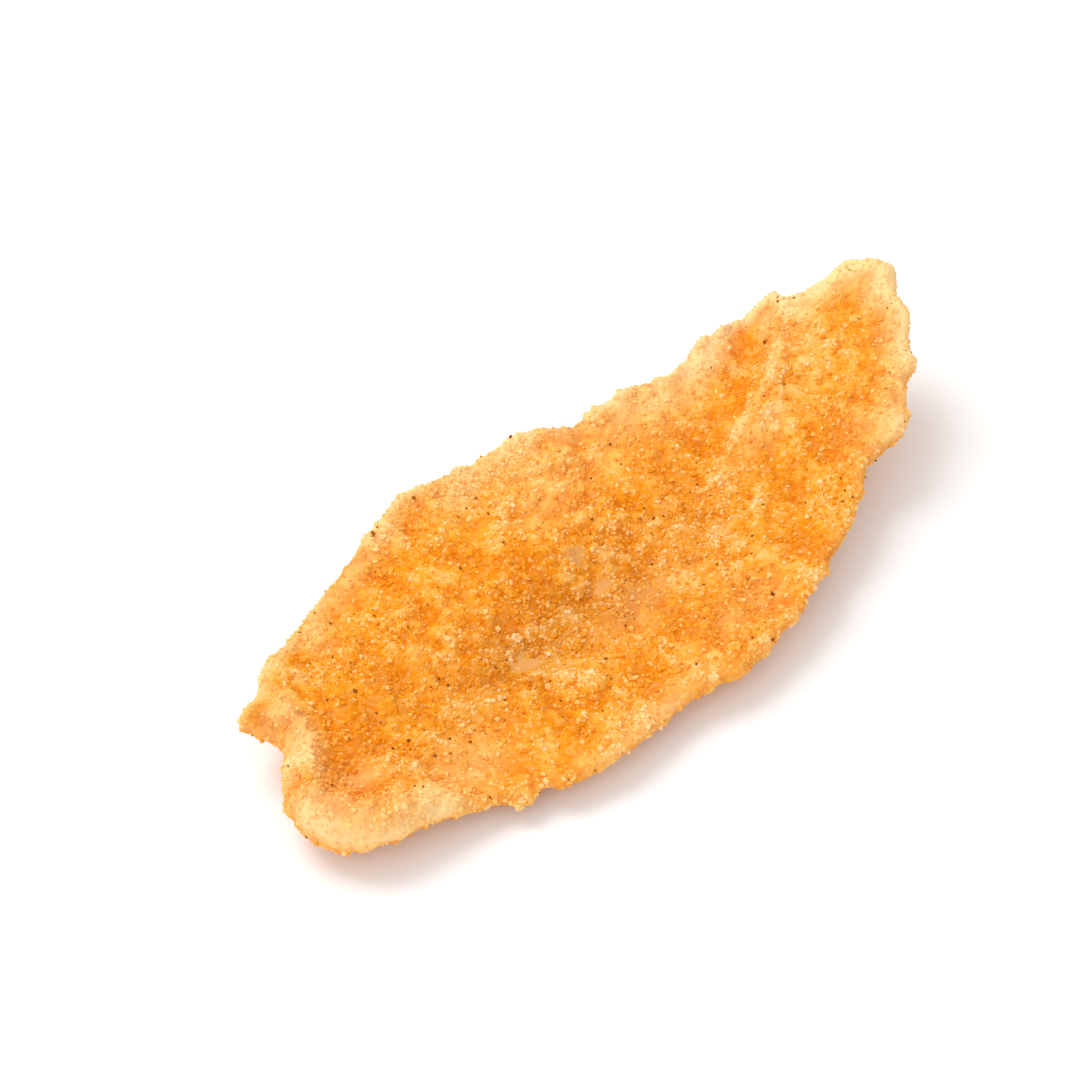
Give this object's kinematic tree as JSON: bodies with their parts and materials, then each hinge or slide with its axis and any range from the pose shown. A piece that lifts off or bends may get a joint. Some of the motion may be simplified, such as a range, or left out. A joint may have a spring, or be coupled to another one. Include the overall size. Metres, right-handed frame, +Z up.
{
  "type": "fried fish fillet",
  "caption": "Thin curled fried fish fillet in a coarse cornmeal crust, with a trough along it, a raised lobed end and a rolled blunt end.",
  "frame": {"origin": "centre of the fillet's plan box, on the table that it lies on", "axes": "+X along the length towards the raised lobed end, +Y across towards the higher curled edge, +Z up"},
  "size_m": [0.2025, 0.0888, 0.0341],
  "materials": {
    "crust": "rough golden cornmeal crust with pale grains and dark specks of pepper"
  },
  "bodies": {
    "root": {"fillet": "crust"}
  },
  "joints": []
}
